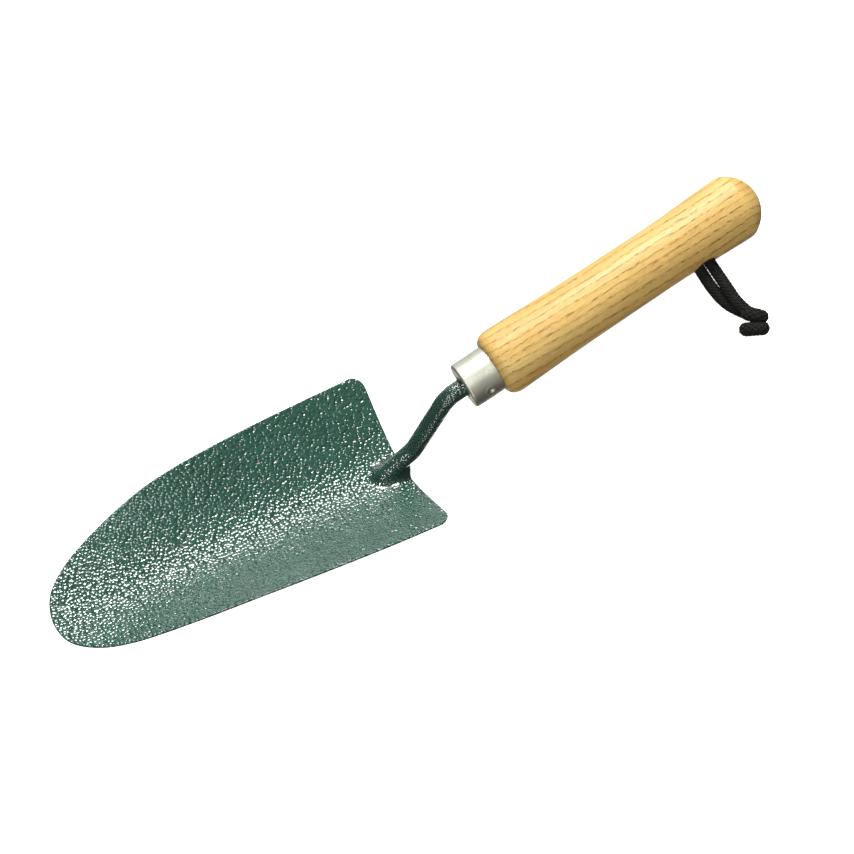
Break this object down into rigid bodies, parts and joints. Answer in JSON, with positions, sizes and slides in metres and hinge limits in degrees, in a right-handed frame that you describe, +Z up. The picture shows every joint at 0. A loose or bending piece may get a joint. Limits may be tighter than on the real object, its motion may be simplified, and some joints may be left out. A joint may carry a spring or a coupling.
{
  "type": "hand transplanter",
  "caption": "Narrow deep-bladed garden hand trowel with a cranked steel neck, a steel ferrule, a turned ash handle and a knotted hanging cord.",
  "frame": {"origin": "on the surface the tool lies on, under the middle of the tool's length, on its plane of symmetry", "axes": "+X towards the handle's butt, +Y sideways, +Z up on the blade's hollow side"},
  "size_m": [0.3169, 0.0896, 0.069],
  "materials": {
    "green_paint": "dark green hammered enamel, glossy and pebbled",
    "zinc_steel": "satin zinc plate",
    "ash_wood": "turned ash under a satin lacquer",
    "black_cord": "black braided cord"
  },
  "bodies": {
    "root": {"blade": "green_paint", "neck_and_tang": "green_paint", "weld": "green_paint", "ferrule": "zinc_steel", "handle": "ash_wood", "cord_leg_fore": "black_cord", "cord_leg_aft": "black_cord", "cord_fold": "black_cord", "cord_knot": "black_cord"}
  },
  "joints": []
}
